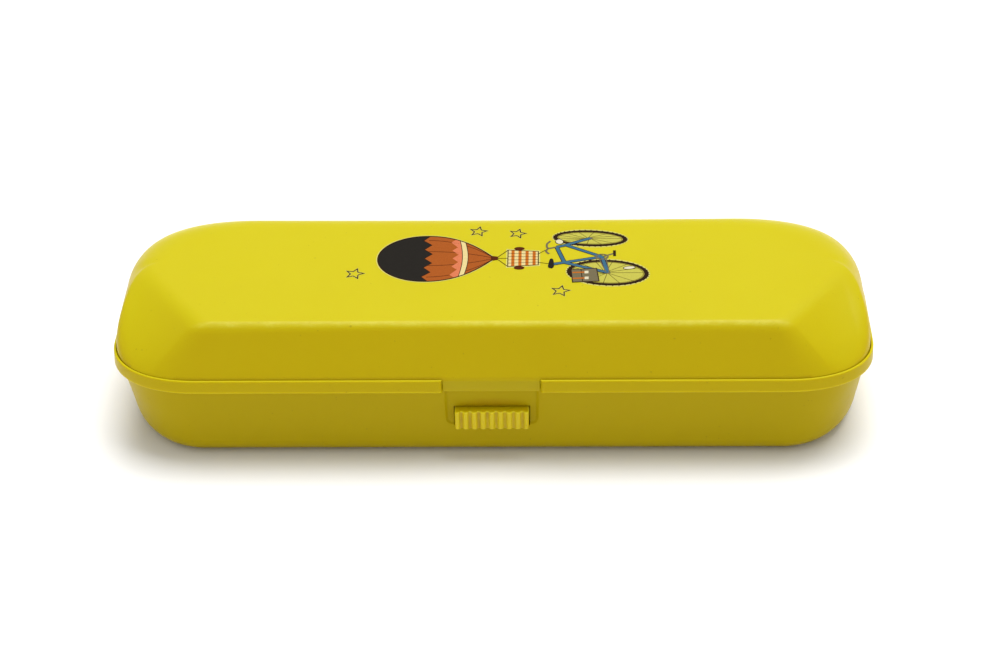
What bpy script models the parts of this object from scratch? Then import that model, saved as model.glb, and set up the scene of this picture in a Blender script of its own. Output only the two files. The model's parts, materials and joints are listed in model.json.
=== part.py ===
"""Moulded pencil case: a tray with a rim band, a hinged lid with a front tongue, and a push-button latch.

Metres. X runs along the case, -Y is the front with the button, +Z is up. The origin is the centre of the
flat underside. Each case moulding is a loft through plan outlines, one ring of points per height.
"""

import math

import bmesh
import bpy
import numpy as np

MM = 0.001
GAP = 0.3 * MM  # between neighbouring pieces

# Whole case
HALF_LENGTH = 106 * MM  # over the rim band
HALF_DEPTH = 36 * MM  # over the rim band
HEIGHT = 40 * MM
WALL = 1.7 * MM
FLOOR = 1.8 * MM
CORNER_STEPS = 9  # facets in each plan corner, a multiple of 3
CORNER_POWER = 2.2  # 2 is an ellipse, more is squarer

# Tray
TRAY_HALF_LENGTH = 103.8 * MM
TRAY_HALF_DEPTH_LOW = 33.6 * MM
TRAY_HALF_DEPTH_HIGH = 34.2 * MM
TRAY_FRONT_CORNER_LOW = (23.7 * MM, 39.2 * MM)
TRAY_BACK_CORNER_LOW = (27 * MM, 22 * MM)
TRAY_FRONT_CORNER_HIGH = (20.5 * MM, 16.5 * MM)
TRAY_BACK_CORNER_HIGH = (19.5 * MM, 29.7 * MM)
TRAY_EDGE_ROUND = 5.4 * MM  # between the underside and the walls

# Rim band round the top of the tray
BAND_LOW = 22.7 * MM
BAND_TOP = 26.8 * MM
BAND_FRONT_CORNER = (25.5 * MM, 20 * MM)
BAND_BACK_CORNER = (21.5 * MM, 31.7 * MM)
BAND_EDGE = 0.35 * MM  # chamfer on its outer edges
BAND_WALL = 0.8 * MM
SHELF = 24.9 * MM  # the lid's skirt ends just above it

# Lid
LID_HALF_DEPTH = HALF_DEPTH - BAND_WALL - GAP
LID_TOP_HALF_LENGTH = 99.9 * MM
LID_TOP_FRONT = 27.1 * MM
LID_TOP_BACK = 27.9 * MM
LID_TOP_FRONT_CORNER = (22.4 * MM, 34.8 * MM)
LID_TOP_BACK_CORNER = (34.4 * MM, 20.1 * MM)
LID_BEVEL_ROUND = (2.5 * MM, 5 * MM)  # rounding of the front bevel's two ends
LID_RIDGE = (10.3 * MM, 1.8 * MM, 5.7 * MM)  # how far the ridge is rounded: ends, front, back
LID_BEVEL_RIDGE = 3.5 * MM  # the same along the front bevels
LID_ROOF = 1.8 * MM
END_LEAN = 2.5  # how late the lid's ends lean inwards as they rise, where 1 is a straight slope
BACK_LEAN = 1.9
SLOPE_RINGS = 5
RIDGE_RINGS = 4

# Break in the band, with the lid's tongue in it and the thumb recess below
BREAK_HALF_WIDTH = 13.5 * MM
TONGUE_HALF_WIDTH = BREAK_HALF_WIDTH - GAP
TONGUE_FRONT = -35.2 * MM
TONGUE_BACK = -34.3 * MM
TONGUE_LOW = 22.9 * MM
TONGUE_RAMP_TOP = 28.2 * MM
LIP_HALF_WIDTH = 9.4 * MM
LIP_BACK = -33.0 * MM
LIP_TOP = 23.9 * MM
RECESS_FLOOR = -33.5 * MM
RECESS_LOW = 10.1 * MM
RECESS_ROUND = 2.6 * MM
NOTCH_HALF_WIDTH = 10 * MM
NOTCH_LOW = 22.4 * MM
SKIRT_NOTCH_FRONT = -34.1 * MM
SKIRT_NOTCH_TOP = 26.6 * MM
PAD_HALF_WIDTH = 16 * MM
PAD_BACK = -31.7 * MM
PAD_LOW = 8.5 * MM

# Button and its nose
BUTTON_HALF_WIDTH = 10.2 * MM
BUTTON_LOW = 10.7 * MM
BUTTON_TOP = 16.5 * MM
BUTTON_FRONT = -36.4 * MM
FLUTES = 8
FLUTE_DEPTH = 0.6 * MM
FLUTE_RIDGE = 1.15 * MM
FLUTE_STEPS = 6
PLATE_HALF_WIDTH = 12.4 * MM
PLATE_FRONT = PAD_BACK + GAP
PLATE_BACK = PLATE_FRONT + 1.8 * MM
PLATE_LOW = 9.0 * MM
PLATE_TOP = 21.5 * MM
NOSE_HALF_WIDTH = 8.5 * MM
NOSE_LOW = LIP_TOP + GAP
NOSE_TOP = 26.0 * MM
NOSE_TIP = -33.8 * MM
NOSE_TIP_TOP = 24.7 * MM
NOSE_RAMP_END = -32.2 * MM

# Spring and the keeper behind it
SPRING_Z = (BUTTON_LOW + BUTTON_TOP) / 2
SPRING_RADIUS = 2.2 * MM
SPRING_WIRE = 0.25 * MM  # radius of the wire
SPRING_TURNS = 4.5
SPRING_STEPS = 12  # points in each turn
PEG_RADIUS = 1.5 * MM
PEG_LENGTH = 1.0 * MM
COVER_HALF_WIDTH = 15 * MM
COVER_SIDE = 1.6 * MM
COVER_FRONT = -24.4 * MM
COVER_BACK = -23.2 * MM
COVER_LOW = FLOOR + GAP
COVER_TOP = 22.0 * MM
COVER_ROOF = 1.2 * MM
COVER_ROOF_FRONT = -27.2 * MM
COVER_HEEL_Z = 7.0 * MM  # the side plates are cut away below this, over the tray's inner round
COVER_HEEL_Y = -28.5 * MM

# Hinges
HINGE_X = 62 * MM
HINGE_Y = 37.2 * MM
HINGE_Z = 27.6 * MM
BARREL_RADIUS = 2.1 * MM
BORE_RADIUS = 1.1 * MM
PIN_RADIUS = 0.9 * MM
ROUND_SIDES = 24
LID_BARREL_HALF = 4.0 * MM
BARREL_GAP = 0.4 * MM
TRAY_BARREL_LENGTH = 5.0 * MM
BARREL_NOTCH_LOW = 25.1 * MM
HINGE_HALF = LID_BARREL_HALF + BARREL_GAP + TRAY_BARREL_LENGTH
RIB_ROOT_Y = 35.4 * MM  # inside the band
RIB_LOW = 23.4 * MM
RIB_TOE_Y = 35.9 * MM
ARM_ROOT_Y = 33.4 * MM  # inside the lid's back wall
ARM_LOW = BAND_TOP + GAP

YELLOW = (0.72, 0.60, 0.02, 1)
BUTTON_YELLOW = (0.80, 0.66, 0.03, 1)
STEEL = (0.60, 0.60, 0.58, 1)


# ---------------------------------------------------------------- plan outlines


def section(half_x, front, back, front_corner, back_corner, bevel=(0.0, 0.0)):
    """One plan outline. Corners are (length along X, length along Y). Front corners are round, or straight
    bevels whose two ends are rounded by bevel."""
    return np.array([half_x, front, back, *front_corner, *back_corner, *bevel])


def inset(plan, side, front=None, back=None):
    """The outline moved inwards by side at its ends, front at its front and back at its back."""
    front = side if front is None else front
    back = side if back is None else back
    half_x, near, far, fx, fy, bx, by, round_a, round_b = plan
    lose_x, lose_y = side, front
    if round_a:
        # a straight bevel loses less length than a round corner does
        bevel_x, bevel_y = fx - round_a, fy - round_b
        spare = bevel_x + bevel_y - math.hypot(bevel_x, bevel_y)
        lose_x, lose_y = front * spare / bevel_y, side * spare / bevel_x
    corner = (fx - lose_x, fy - lose_y)
    back_corner = (bx - side, by - back)
    return section(half_x - side, near - front, far - back, corner, back_corner, (round_a, round_b))


def round_corner(length_x, length_y):
    """Round corner from the X axis side to the Y axis side, as distances from the square corner."""
    turn = np.linspace(0, math.pi / 2, CORNER_STEPS + 1)
    reach_x, reach_y = np.sin(turn), np.cos(turn).round(9)
    return length_x * (1 - reach_x ** (2 / CORNER_POWER)), length_y * (1 - reach_y ** (2 / CORNER_POWER))


def bevel_corner(length_x, length_y, round_a, round_b):
    """Straight bevel with a parabola at each end, as distances from the square corner."""
    third = CORNER_STEPS // 3
    t = np.linspace(0, 1, third + 1)[:, None]
    a, b = np.array((length_x - round_a, 0)), np.array((0, length_y - round_b))
    along = (b - a) / np.linalg.norm(b - a)
    a_start, a_end = np.array((length_x, 0)), a + along * round_a
    b_start, b_end = b - along * round_b, np.array((0, length_y))
    first = (1 - t) ** 2 * a_start + 2 * t * (1 - t) * a + t**2 * a_end
    straight = a_end + (b_start - a_end) * t
    last = (1 - t) ** 2 * b_start + 2 * t * (1 - t) * b + t**2 * b_end
    return np.vstack((first, straight[1:], last[1:])).T


def outline(plan):
    """Points of an outline, anticlockwise from the front right corner."""
    half_x, near, far, fx, fy, bx, by, round_a, round_b = plan
    dx, dy = bevel_corner(fx, fy, round_a, round_b) if round_a else round_corner(fx, fy)
    front = np.column_stack((half_x - dx, dy - near))
    dx, dy = round_corner(bx, by)
    back = np.column_stack((half_x - dx, far - dy))[::-1]
    right = np.vstack((front, back))
    return np.vstack((right, (right * (-1, 1))[::-1]))


def ring(plan, z):
    """The outline as a ring of points at height z."""
    points = outline(plan)
    return np.column_stack((points, np.full(len(points), z)))


# ---------------------------------------------------------------- objects


def material(name, color, roughness, metallic=0.0):
    m = bpy.data.materials.new(name)
    m.use_nodes = True
    shader = m.node_tree.nodes["Principled BSDF"]
    shader.inputs["Base Color"].default_value = color
    shader.inputs["Roughness"].default_value = roughness
    shader.inputs["Metallic"].default_value = metallic
    return m


def finish_object(name, bm, look=None):
    """Turns a closed bmesh into an object. Without a look it is a tool for a Boolean."""
    mesh = bpy.data.meshes.new(name)
    bm.to_mesh(mesh)
    bm.free()
    o = bpy.data.objects.new(name, mesh)
    bpy.context.scene.collection.objects.link(o)
    if look is None:
        o.hide_render = True
        o.display_type = "WIRE"
    else:
        mesh.materials.append(look)
    mesh.shade_smooth()
    mesh.set_sharp_from_angle(angle=math.radians(35))
    return o


def loft(name, rings, look):
    """Closed solid through rings of equal point count. The first ring's cap faces down, the last one's up."""
    bm = bmesh.new()
    loops = [[bm.verts.new(p) for p in points] for points in rings]
    count = len(loops[0])
    for low, high in zip(loops, loops[1:]):
        for i in range(count):
            j = (i + 1) % count
            bm.faces.new((low[i], low[j], high[j], high[i]))
    bm.faces.new(reversed(loops[0]))
    bm.faces.new(loops[-1])
    return finish_object(name, bm, look)


def prism(name, profile, axis, start, end, look=None):
    """Profile extruded along axis from start to end. Its points hold the other two coordinates in order."""
    along = "XYZ".index(axis)
    bm = bmesh.new()
    bottom = [bm.verts.new(np.insert(p, along, start)) for p in profile]
    base = bm.faces.new(bottom)
    top = bmesh.ops.extrude_face_region(bm, geom=[base])["geom"]
    for v in (g for g in top if isinstance(g, bmesh.types.BMVert)):
        v.co[along] = end
    bmesh.ops.recalc_face_normals(bm, faces=bm.faces)
    return finish_object(name, bm, look)


def box(name, low, high, look=None):
    (x0, y0, z0), (x1, y1, z1) = low, high
    return prism(name, [(x0, y0), (x1, y0), (x1, y1), (x0, y1)], "Z", z0, z1, look)


def arc(centre, radius, start, end, steps):
    """Points of an arc, angles in degrees from the first axis towards the second."""
    angles = np.radians(np.linspace(start, end, steps + 1))
    return [(centre[0] + radius * math.cos(a), centre[1] + radius * math.sin(a)) for a in angles]


def circle(centre, radius):
    return arc(centre, radius, 0, 360, ROUND_SIDES)[:-1]


def combine(target, operation, *tools):
    """Adds one Boolean for each tool, UNION or DIFFERENCE."""
    for tool in tools:
        mod = target.modifiers.new(tool.name, "BOOLEAN")
        mod.operation = operation
        mod.solver = "EXACT"
        mod.object = tool


def hang_on_axis(name, place, *pieces):
    """Parents pieces to an empty on their joint's axis."""
    axis = bpy.data.objects.new(name, None)
    axis.location = place
    axis.empty_display_size = 5 * MM
    bpy.context.scene.collection.objects.link(axis)
    for o in pieces:
        o.parent = axis
        o.location = [-c for c in place]


# ---------------------------------------------------------------- tray


def tray_section(z):
    """Outside of the tray's wall at height z, below the band."""
    rise = z / BAND_LOW
    depth = TRAY_HALF_DEPTH_LOW
    low = section(TRAY_HALF_LENGTH, depth, depth, TRAY_FRONT_CORNER_LOW, TRAY_BACK_CORNER_LOW)
    depth = TRAY_HALF_DEPTH_HIGH
    high = section(TRAY_HALF_LENGTH, depth, depth, TRAY_FRONT_CORNER_HIGH, TRAY_BACK_CORNER_HIGH)
    return low + (high - low) * rise


def tray_bowl(wall, floor):
    """Rings of the tray's surface from its floor up to the band, set inwards by wall and upwards by floor."""
    rings = []
    radius = TRAY_EDGE_ROUND - wall
    for angle in np.radians(np.linspace(0, 90, 5)):
        z = floor + radius * (1 - math.cos(angle))
        rings.append(ring(inset(tray_section(z), wall + radius * (1 - math.sin(angle))), z))
    return rings


def band_section():
    return section(HALF_LENGTH, HALF_DEPTH, HALF_DEPTH, BAND_FRONT_CORNER, BAND_BACK_CORNER)


def make_tray(look):
    band = band_section()
    under_band = tray_section(BAND_LOW)
    outside = tray_bowl(0, 0) + [
        ring(under_band, BAND_LOW),
        ring(inset(band, BAND_EDGE), BAND_LOW),
        ring(band, BAND_LOW + BAND_EDGE),
        ring(band, BAND_TOP - BAND_EDGE),
        ring(inset(band, BAND_EDGE), BAND_TOP),
    ]
    inside = [
        ring(inset(band, BAND_WALL), BAND_TOP),
        ring(inset(band, BAND_WALL), SHELF),
        ring(inset(under_band, WALL), SHELF),
    ]
    tray = loft("base_tray", outside + inside + tray_bowl(WALL, FLOOR)[::-1], look)
    make_tray_front(tray)
    make_tray_hinges(tray)
    return tray


def make_tray_front(tray):
    """Break in the band, thumb recess, notch for the nose and window for the button."""
    clear = 1 * MM  # tools reach this far past the material
    pad = box(
        "tool_pad",
        (-PAD_HALF_WIDTH, RECESS_FLOOR, PAD_LOW),
        (PAD_HALF_WIDTH, PAD_BACK, SHELF - GAP),
    )
    w, r = BREAK_HALF_WIDTH, RECESS_ROUND
    top = BAND_TOP + clear
    low_right = arc((w - r, RECESS_LOW + r), r, -90, 0, 6)
    low_left = arc((r - w, RECESS_LOW + r), r, 180, 270, 6)
    recess = prism(
        "tool_recess", low_left + low_right + [(w, top), (-w, top)], "Y", -HALF_DEPTH - clear, RECESS_FLOOR
    )
    notch = box(
        "tool_notch",
        (-NOTCH_HALF_WIDTH, RECESS_FLOOR - clear, NOTCH_LOW),
        (NOTCH_HALF_WIDTH, PAD_BACK + clear, top),
    )
    window = box(
        "tool_window",
        (-BUTTON_HALF_WIDTH - GAP, RECESS_FLOOR - clear, BUTTON_LOW - GAP),
        (BUTTON_HALF_WIDTH + GAP, PAD_BACK + clear, BUTTON_TOP + GAP),
    )
    combine(tray, "UNION", pad)
    combine(tray, "DIFFERENCE", recess, notch, window)


def tray_knuckle_profile():
    """Barrel with a rib under it that runs down the outside of the band."""
    round_side = arc((HINGE_Y, HINGE_Z), BARREL_RADIUS, -35, 200, 16)
    return round_side + [(RIB_ROOT_Y, SHELF + MM), (RIB_ROOT_Y, RIB_LOW), (RIB_TOE_Y, RIB_LOW)]


def make_tray_hinges(tray):
    inner = LID_BARREL_HALF + BARREL_GAP
    for side in (-1, 1):
        middle = side * HINGE_X
        for end in (-1, 1):
            start, stop = sorted((middle + end * inner, middle + end * HINGE_HALF))
            knuckle = prism(f"tool_knuckle_{side}_{end}", tray_knuckle_profile(), "X", start, stop)
            combine(tray, "UNION", knuckle)
        hollow = box(
            f"tool_barrel_notch_{side}",
            (middle - inner, LID_HALF_DEPTH, BARREL_NOTCH_LOW),
            (middle + inner, HALF_DEPTH + MM, BAND_TOP + MM),
        )
        bore = prism(
            f"tool_tray_bore_{side}",
            circle((HINGE_Y, HINGE_Z), BORE_RADIUS),
            "X",
            middle - HINGE_HALF - MM,
            middle + HINGE_HALF + MM,
        )
        combine(tray, "DIFFERENCE", hollow, bore)


# ---------------------------------------------------------------- lid


def lid_sections(thickness=0.0):
    """The lid's outline at its rim and at its top, set inwards by thickness."""
    rim = inset(band_section(), BAND_WALL + GAP)
    top = section(
        LID_TOP_HALF_LENGTH,
        LID_TOP_FRONT,
        LID_TOP_BACK,
        LID_TOP_FRONT_CORNER,
        LID_TOP_BACK_CORNER,
        LID_BEVEL_ROUND,
    )
    return inset(rim, thickness), inset(top, thickness)


def leaning():
    """How late each point of the outline leans inwards. The front and its bevels are flat."""
    share = np.linspace(0, 1, CORNER_STEPS + 1)
    right = np.append(1 + (END_LEAN - 1) * share**3, END_LEAN + (BACK_LEAN - END_LEAN) * share)
    return np.append(right, right[::-1])


def softening():
    """How much of the ends' wide ridge each point of the outline has. The front and its bevels have none."""
    share = np.linspace(0, 1, CORNER_STEPS + 1)
    right = np.append(np.clip(2.5 * share - 1.5, 0, 1) ** 2 / 2, 1 - np.clip(1 - 2.5 * share, 0, 1) ** 2 / 2)
    return np.append(right, right[::-1])


def lid_shell(thickness, roof):
    """Rings up the lid, from its rim over the rounded ridge to its flat top, set inwards by thickness."""
    rim_plan, top_plan = lid_sections(thickness)
    rim, shoulder = ring(rim_plan, BAND_TOP), ring(top_plan, HEIGHT - roof)
    crisp = ring(inset(top_plan, LID_BEVEL_RIDGE, *LID_RIDGE[1:]), HEIGHT - roof)
    soft = ring(inset(top_plan, *LID_RIDGE), HEIGHT - roof)
    flat = crisp + (soft - crisp) * softening()[:, None]
    # the ridge starts as far below the shoulder as it ends inside it
    last = 1 - np.linalg.norm(flat - shoulder, axis=1) / np.linalg.norm(shoulder - rim, axis=1)
    lean = leaning()
    rings = []
    for share in np.linspace(0, 1, SLOPE_RINGS + 1):
        rise = share * last
        rings.append(rim + (shoulder - rim) * np.column_stack((rise**lean, rise**lean, rise)))
    # where the slope's tangent meets the top
    reach = last**lean + lean * last ** (lean - 1) * (1 - last)
    start, corner = rings[-1], rim + (shoulder - rim) * np.column_stack((reach, reach, np.ones(len(reach))))
    for t in np.linspace(0, 1, RIDGE_RINGS + 1)[1:]:
        rings.append((1 - t) ** 2 * start + 2 * t * (1 - t) * corner + t**2 * flat)
    return rings


def make_lid(look):
    skirt_low = SHELF + GAP
    outside = [ring(lid_sections()[0], skirt_low)] + lid_shell(0, 0)
    inside = [ring(lid_sections(WALL)[0], skirt_low)] + lid_shell(WALL, LID_ROOF)
    lid = loft("lid", inside[::-1] + outside, look)
    make_tongue(lid)
    make_lid_hinges(lid)
    return lid


def make_tongue(lid):
    """Tongue in the break of the band, with a lip behind its lower edge for the latch's nose."""
    slope = (LID_HALF_DEPTH - LID_TOP_FRONT) / (HEIGHT - BAND_TOP)
    ramp_end = -LID_HALF_DEPTH + slope * (TONGUE_RAMP_TOP - BAND_TOP) + 0.2 * MM
    profile = [
        (TONGUE_FRONT, TONGUE_LOW),
        (TONGUE_BACK, TONGUE_LOW),
        (TONGUE_BACK, BAND_TOP),
        (ramp_end, TONGUE_RAMP_TOP),
        (TONGUE_FRONT, BAND_TOP - GAP),
    ]
    tongue = prism("tool_tongue", profile, "X", -TONGUE_HALF_WIDTH, TONGUE_HALF_WIDTH)
    notch = box(
        "tool_skirt_notch",
        (-NOTCH_HALF_WIDTH, SKIRT_NOTCH_FRONT, SHELF - MM),
        (NOTCH_HALF_WIDTH, -LID_HALF_DEPTH + WALL + MM, SKIRT_NOTCH_TOP),
    )
    lip = box(
        "tool_lip",
        (-LIP_HALF_WIDTH, TONGUE_BACK - GAP, TONGUE_LOW + 0.1 * MM),
        (LIP_HALF_WIDTH, LIP_BACK, LIP_TOP),
    )
    combine(lid, "UNION", tongue)
    combine(lid, "DIFFERENCE", notch)
    combine(lid, "UNION", lip)


def make_lid_hinges(lid):
    start = 180 - math.degrees(math.asin((ARM_LOW - HINGE_Z) / BARREL_RADIUS))
    barrel = arc((HINGE_Y, HINGE_Z), BARREL_RADIUS, start, 450, 18)
    profile = barrel + [(ARM_ROOT_Y, HINGE_Z + BARREL_RADIUS), (ARM_ROOT_Y, ARM_LOW)]
    for side in (-1, 1):
        low, high = side * HINGE_X - LID_BARREL_HALF, side * HINGE_X + LID_BARREL_HALF
        combine(lid, "UNION", prism(f"tool_lid_barrel_{side}", profile, "X", low, high))
        hole = circle((HINGE_Y, HINGE_Z), BORE_RADIUS)
        bore = prism(f"tool_lid_bore_{side}", hole, "X", low - MM, high + MM)
        combine(lid, "DIFFERENCE", bore)


# ---------------------------------------------------------------- latch


def fluted_profile():
    """Plan of the button's head: flat back, square sides, and round flutes with ridges between them."""
    width = (2 * BUTTON_HALF_WIDTH - (FLUTES + 1) * FLUTE_RIDGE) / FLUTES
    points = [(BUTTON_HALF_WIDTH, PLATE_FRONT + GAP), (-BUTTON_HALF_WIDTH, PLATE_FRONT + GAP)]
    x = -BUTTON_HALF_WIDTH
    for _ in range(FLUTES):
        points.append((x, BUTTON_FRONT))
        x += FLUTE_RIDGE
        for step in range(FLUTE_STEPS + 1):
            u = step / FLUTE_STEPS
            points.append((x + width * u, BUTTON_FRONT + FLUTE_DEPTH * math.sin(math.pi * u)))
        x += width
    points.append((BUTTON_HALF_WIDTH, BUTTON_FRONT))
    return points


def peg_circle():
    return circle((0, SPRING_Z), PEG_RADIUS)


def make_latch_button(look):
    head = prism("latch_button", fluted_profile(), "Z", BUTTON_LOW, BUTTON_TOP, look)
    plate = box(
        "tool_plate", (-PLATE_HALF_WIDTH, PLATE_FRONT, PLATE_LOW), (PLATE_HALF_WIDTH, PLATE_BACK, PLATE_TOP)
    )
    sunk = 0.1 * MM  # the arm is a little thinner than the plate
    profile = [
        (PLATE_FRONT + sunk, PLATE_TOP - MM),
        (PLATE_FRONT + sunk, NOSE_LOW),
        (NOSE_TIP, NOSE_LOW),
        (NOSE_TIP, NOSE_TIP_TOP),
        (NOSE_RAMP_END, NOSE_TOP),
        (PLATE_BACK - sunk, NOSE_TOP),
        (PLATE_BACK - sunk, PLATE_TOP - MM),
    ]
    arm = prism("tool_arm", profile, "X", -NOSE_HALF_WIDTH, NOSE_HALF_WIDTH)
    peg = prism("tool_button_peg", peg_circle(), "Y", PLATE_BACK - MM, PLATE_BACK + PEG_LENGTH)
    combine(head, "UNION", plate, arm, peg)
    return head


def make_latch_cover(look):
    """Keeper: back plate, two side plates and a short roof, with a peg for the spring."""
    cover = box(
        "latch_cover",
        (-COVER_HALF_WIDTH, COVER_FRONT, COVER_LOW),
        (COVER_HALF_WIDTH, COVER_BACK, COVER_TOP),
        look,
    )
    sunk = 0.1 * MM
    front = PLATE_FRONT
    side_profile = [
        (front, COVER_HEEL_Z),
        (COVER_HEEL_Y, COVER_LOW + sunk),
        (COVER_BACK - sunk, COVER_LOW + sunk),
        (COVER_BACK - sunk, COVER_TOP - sunk),
        (front, COVER_TOP - sunk),
    ]
    for side in (-1, 1):
        outer = side * (COVER_HALF_WIDTH - sunk)
        start, stop = sorted((outer, outer - side * COVER_SIDE))
        combine(cover, "UNION", prism(f"tool_cover_side_{side}", side_profile, "X", start, stop))
    roof = box(
        "tool_cover_roof",
        (-COVER_HALF_WIDTH + COVER_SIDE / 2, COVER_ROOF_FRONT, COVER_TOP - COVER_ROOF),
        (COVER_HALF_WIDTH - COVER_SIDE / 2, COVER_BACK - 2 * sunk, COVER_TOP - 2 * sunk),
    )
    peg = prism("tool_cover_peg", peg_circle(), "Y", COVER_FRONT - PEG_LENGTH, COVER_BACK - GAP)
    combine(cover, "UNION", roof, peg)


def make_latch_spring(look):
    """Coil along Y between the button's plate and the keeper."""
    curve = bpy.data.curves.new("latch_spring", "CURVE")
    curve.dimensions = "3D"
    curve.bevel_depth = SPRING_WIRE
    curve.bevel_resolution = 2
    curve.use_fill_caps = True
    count = round(SPRING_TURNS * SPRING_STEPS) + 1
    spline = curve.splines.new("POLY")
    spline.points.add(count - 1)
    start = PLATE_BACK + GAP + SPRING_WIRE
    end = COVER_FRONT - GAP - SPRING_WIRE
    for i, point in enumerate(spline.points):
        angle = 2 * math.pi * i / SPRING_STEPS
        y = start + (end - start) * i / (count - 1)
        x, z = SPRING_RADIUS * math.cos(angle), SPRING_Z + SPRING_RADIUS * math.sin(angle)
        point.co = (x, y, z, 1)
    o = bpy.data.objects.new("latch_spring", curve)
    bpy.context.scene.collection.objects.link(o)
    curve.materials.append(look)


# ---------------------------------------------------------------- hinge pins


def make_hinge_pins(look):
    for name, side in (("hinge_pin_left", -1), ("hinge_pin_right", 1)):
        reach = HINGE_HALF - GAP
        middle = side * HINGE_X
        prism(name, circle((HINGE_Y, HINGE_Z), PIN_RADIUS), "X", middle - reach, middle + reach, look)


# ---------------------------------------------------------------- assembly


for old in list(bpy.data.objects):
    bpy.data.objects.remove(old)

case_plastic = material("case_plastic", YELLOW, 0.35)
button_plastic = material("button_plastic", BUTTON_YELLOW, 0.38)
steel = material("steel", STEEL, 0.3, 1.0)

make_tray(case_plastic)
lid = make_lid(case_plastic)
button = make_latch_button(button_plastic)
make_latch_cover(case_plastic)
make_latch_spring(steel)
make_hinge_pins(steel)
hang_on_axis("lid_hinge_axis", (0, HINGE_Y, HINGE_Z), lid)
hang_on_axis("latch_press_axis", (0, BUTTON_FRONT, SPRING_Z), button)
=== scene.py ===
import json
import math

import bmesh
import bpy
import numpy as np
from mathutils import Matrix, Vector


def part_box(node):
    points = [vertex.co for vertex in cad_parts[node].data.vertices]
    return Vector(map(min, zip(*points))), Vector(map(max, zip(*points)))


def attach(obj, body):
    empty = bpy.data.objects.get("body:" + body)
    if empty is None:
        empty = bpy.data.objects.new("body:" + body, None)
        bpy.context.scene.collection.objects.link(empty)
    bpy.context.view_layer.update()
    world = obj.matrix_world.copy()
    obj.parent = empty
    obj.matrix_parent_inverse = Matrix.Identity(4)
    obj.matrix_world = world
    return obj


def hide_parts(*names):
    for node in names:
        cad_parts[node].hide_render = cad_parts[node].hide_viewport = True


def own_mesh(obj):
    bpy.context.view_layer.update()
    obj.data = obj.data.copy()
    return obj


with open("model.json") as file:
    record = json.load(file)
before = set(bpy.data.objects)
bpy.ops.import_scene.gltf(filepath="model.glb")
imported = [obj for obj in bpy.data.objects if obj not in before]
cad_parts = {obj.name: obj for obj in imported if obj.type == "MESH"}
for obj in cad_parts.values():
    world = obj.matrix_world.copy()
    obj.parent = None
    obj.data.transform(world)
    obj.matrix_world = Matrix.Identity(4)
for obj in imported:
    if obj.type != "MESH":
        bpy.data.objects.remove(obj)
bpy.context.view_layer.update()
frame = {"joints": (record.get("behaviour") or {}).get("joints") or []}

MM = 0.001
scene = bpy.context.scene

# ---------------------------------------------------------------- sizes, from the frame where it gives them

tray_low, tray_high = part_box("base_tray")
lid_low, lid_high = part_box("lid")
button_low, button_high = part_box("latch_button")
cover_low, cover_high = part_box("latch_cover")
spring_low, spring_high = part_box("latch_spring")
joints = {j["name"]: j for j in frame["joints"]}
HINGE_Y, HINGE_Z = joints["lid_hinge"]["pos_m"][1:]

GAP = 0.3 * MM
WALL = 1.7 * MM
FLOOR = 1.8 * MM
HALF_LENGTH = tray_high.x
HALF_DEPTH = -tray_low.y
TOP = lid_high.z - 0.1 * MM  # the print lies on this, inside the frame's box

TRAY_HALF_LENGTH = HALF_LENGTH - 2.2 * MM
TRAY_HALF_DEPTH_LOW = HALF_DEPTH - 2.4 * MM
TRAY_HALF_DEPTH_HIGH = HALF_DEPTH - 1.8 * MM
TRAY_FRONT_CORNER_LOW = (23.7 * MM, 39.2 * MM)
TRAY_BACK_CORNER_LOW = (27 * MM, 22 * MM)
TRAY_FRONT_CORNER_HIGH = (20.5 * MM, 16.5 * MM)
TRAY_BACK_CORNER_HIGH = (19.5 * MM, 29.7 * MM)
TRAY_EDGE_ROUND = 5.4 * MM

BAND_LOW = 22.7 * MM
BAND_TOP = 26.8 * MM
BAND_FRONT_CORNER = (25.5 * MM, 20 * MM)
BAND_BACK_CORNER = (21.5 * MM, 31.7 * MM)
BAND_WALL = 0.8 * MM
SHELF = 24.9 * MM

LID_HALF_DEPTH = HALF_DEPTH - BAND_WALL - GAP
LID_TOP_HALF_LENGTH = 99.9 * MM
LID_TOP_FRONT = 27.1 * MM
LID_TOP_BACK = 27.9 * MM
LID_TOP_FRONT_CORNER = (22.4 * MM, 34.8 * MM)
LID_TOP_BACK_CORNER = (34.4 * MM, 20.1 * MM)
LID_BEVEL_ROUND = (2.5 * MM, 5 * MM)
LID_RIDGE = (10.3 * MM, 1.8 * MM, 5.7 * MM)
LID_BEVEL_RIDGE = 3.5 * MM
LID_ROOF = 1.8 * MM
END_LEAN = 2.5  # how late the lid's ends lean inwards as they rise, where 1 is a straight slope
BACK_LEAN = 1.9

BREAK_HALF_WIDTH = 13.5 * MM
TONGUE_HALF_WIDTH = BREAK_HALF_WIDTH - 0.4 * GAP
TONGUE_FRONT = lid_low.y
TONGUE_BACK = -34.3 * MM
TONGUE_LOW = lid_low.z
LIP_HALF_WIDTH = 9.4 * MM
LIP_BACK = -33.0 * MM
LIP_TOP = 23.9 * MM
RECESS_FLOOR = -33.5 * MM
RECESS_LOW = 10.1 * MM
RECESS_ROUND = 2.6 * MM
NOTCH_HALF_WIDTH = 10 * MM
NOTCH_LOW = 22.4 * MM
SKIRT_NOTCH_FRONT = -34.1 * MM
SKIRT_NOTCH_TOP = 26.6 * MM
PAD_HALF_WIDTH = 16 * MM
PAD_BACK = -31.7 * MM
PAD_LOW = 8.5 * MM

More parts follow.
